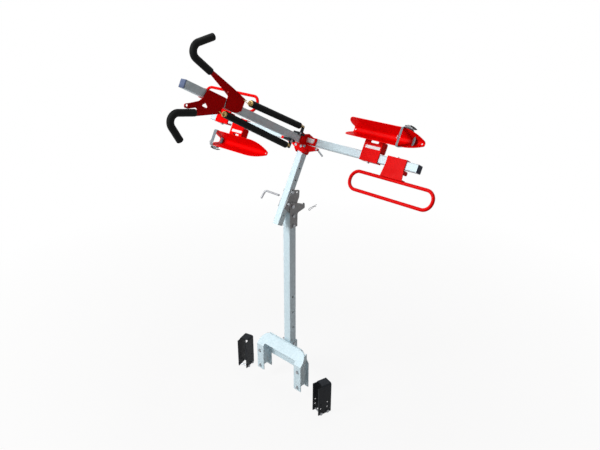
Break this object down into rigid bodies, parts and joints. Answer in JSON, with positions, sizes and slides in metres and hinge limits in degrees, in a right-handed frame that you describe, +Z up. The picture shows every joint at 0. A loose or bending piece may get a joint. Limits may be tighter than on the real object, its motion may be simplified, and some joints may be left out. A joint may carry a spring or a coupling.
{
  "type": "drawbar bike rack",
  "caption": "Drawbar rack for two bicycles: a post on a bridge plate, with a hinged arm that carries a wheel bar, strapped wheel trays, wheel loops and a mast with sprung padded hooks.",
  "frame": {"origin": "on the lower post's axis, at the height of the drawbar's top, where the saddle caps rest", "axes": "+X along the wheel bar to the right in the picture, +Y away from the side that the mast leans out over, +Z up along the lower post"},
  "size_m": [1.746, 0.9733, 2.1006],
  "materials": {
    "zinc": "zinc plated",
    "red_paint": "gloss powder coat",
    "bare_steel": "bright plated",
    "black_steel": "satin powder coat",
    "foam": "closed-cell foam",
    "rubber": "smooth black",
    "cap_plastic": "moulded",
    "webbing": "woven",
    "brass": "yellow zinc look"
  },
  "bodies": {
    "base": {"bridge_front_plate": "zinc", "bridge_back_plate": "zinc", "leg_bolt_right_upper": "zinc", "leg_bolt_right_lower": "zinc", "leg_bolt_left_upper": "zinc", "leg_bolt_left_lower": "zinc", "lower_post": "zinc", "socket_bolt": "zinc", "hinge_ear_right": "zinc", "hinge_ear_left": "zinc", "ear_bolt_upper": "zinc", "ear_bolt_lower": "zinc", "pivot_bolt": "zinc"},
    "arm": {"arm_tube": "zinc", "arm_plate_right": "zinc", "arm_plate_left": "zinc", "arm_plate_bolt_upper": "zinc", "arm_plate_bolt_lower": "zinc", "head_bracket": "red_paint", "head_bolt": "bare_steel", "wheel_bar": "zinc", "bar_cap_right": "cap_plastic", "bar_cap_left": "cap_plastic", "mast": "zinc", "mast_cap": "cap_plastic", "spring_anchor_upper": "black_steel", "spring_anchor_lower": "black_steel", "hook_spring_upper": "brass", "hook_spring_lower": "brass", "spring_sleeve_upper": "rubber", "spring_sleeve_lower": "rubber"},
    "cam_lever": {"head_lever": "bare_steel"},
    "hook_upper": {"hook_carriage_upper": "red_paint", "hook_grip_upper": "foam"},
    "hook_lower": {"hook_carriage_lower": "red_paint", "hook_grip_lower": "foam"},
    "lock_pin": {"lock_pin": "zinc"},
    "r_clip": {"r_clip": "bare_steel"},
    "tray_right": {"tray_bracket_right": "red_paint", "clamp_bolt_tray_right": "bare_steel", "wheel_tray_right": "red_paint", "wheel_strap_right": "webbing", "strap_buckle_right": "bare_steel"},
    "buckle_lever_right": {"buckle_lever_right": "black_steel"},
    "loop_right": {"wheel_loop_right": "red_paint", "clamp_bolt_loop_right": "bare_steel"},
    "saddle_right": {"saddle_right": "black_steel", "saddle_bolt_right_front": "zinc", "saddle_bolt_right_rear": "zinc"},
    "tray_left": {"tray_bracket_left": "red_paint", "clamp_bolt_tray_left": "bare_steel", "wheel_tray_left": "red_paint", "wheel_strap_left": "webbing", "strap_buckle_left": "bare_steel"},
    "buckle_lever_left": {"buckle_lever_left": "black_steel"},
    "loop_left": {"wheel_loop_left": "red_paint", "clamp_bolt_loop_left": "bare_steel"},
    "saddle_left": {"saddle_left": "black_steel", "saddle_bolt_left_front": "zinc", "saddle_bolt_left_rear": "zinc"}
  },
  "joints": [
    {"name": "arm_tilt", "type": "hinge", "parent": "base", "child": "arm", "pos_m": [0, -0.0072, 0.978], "axis": [-1, 0, 0], "range_deg": [0, 61.6]},
    {"name": "cam_lever_turn", "type": "hinge", "parent": "arm", "child": "cam_lever", "pos_m": [0.125, 0.07087, 1.299], "axis": [0, -0.8797, 0.4756], "range_deg": [0, 90]},
    {"name": "hook_upper_slide", "type": "slide", "parent": "arm", "child": "hook_upper", "axis": [0, -0.8797, 0.4756], "range_m": [0, 0.05], "stiffness_N_per_m": 300, "springref_m": -0.05, "deforming": ["hook_spring_upper"]},
    {"name": "hook_lower_slide", "type": "slide", "parent": "hook_upper", "child": "hook_lower", "axis": [0, -0.8797, 0.4756], "range_m": [0, 0.05], "stiffness_N_per_m": 300, "springref_m": -0.05, "deforming": ["hook_spring_lower"]},
    {"name": "tray_right_slide", "type": "slide", "parent": "arm", "child": "tray_right", "axis": [1, 0, 0], "range_m": [-0.15, 0.03]},
    {"name": "tray_left_slide", "type": "slide", "parent": "arm", "child": "tray_left", "axis": [1, 0, 0], "range_m": [-0.03, 0.15]},
    {"name": "loop_right_slide", "type": "slide", "parent": "arm", "child": "loop_right", "axis": [1, 0, 0], "range_m": [0, 0.05]},
    {"name": "loop_left_slide", "type": "slide", "parent": "arm", "child": "loop_left", "axis": [1, 0, 0], "range_m": [-0.03, 0]},
    {"name": "lever_right_turn", "type": "hinge", "parent": "tray_right", "child": "buckle_lever_right", "pos_m": [0.61742, 0.13784, 1.49607], "axis": [0.812, -0.5134, 0.2776], "range_deg": [0, 85]},
    {"name": "lever_left_turn", "type": "hinge", "parent": "tray_left", "child": "buckle_lever_left", "pos_m": [-0.59134, -0.02645, 1.18315], "axis": [-0.9996, 0.0251, -0.0136], "range_deg": [0, 85]},
    {"name": "lock_pin_slide", "type": "slide", "parent": "base", "child": "lock_pin", "axis": [1, 0, 0], "range_m": [0, 0.195]},
    {"name": "r_clip_slide", "type": "slide", "parent": "base", "child": "r_clip", "axis": [-1, 0, 0], "range_m": [0, 0.0635]},
    {"name": "saddle_right_slide", "type": "slide", "parent": "base", "child": "saddle_right", "axis": [-1, 0, 0], "range_m": [0, 0.09]},
    {"name": "saddle_left_slide", "type": "slide", "parent": "base", "child": "saddle_left", "axis": [1, 0, 0], "range_m": [0, 0.09]}
  ]
}
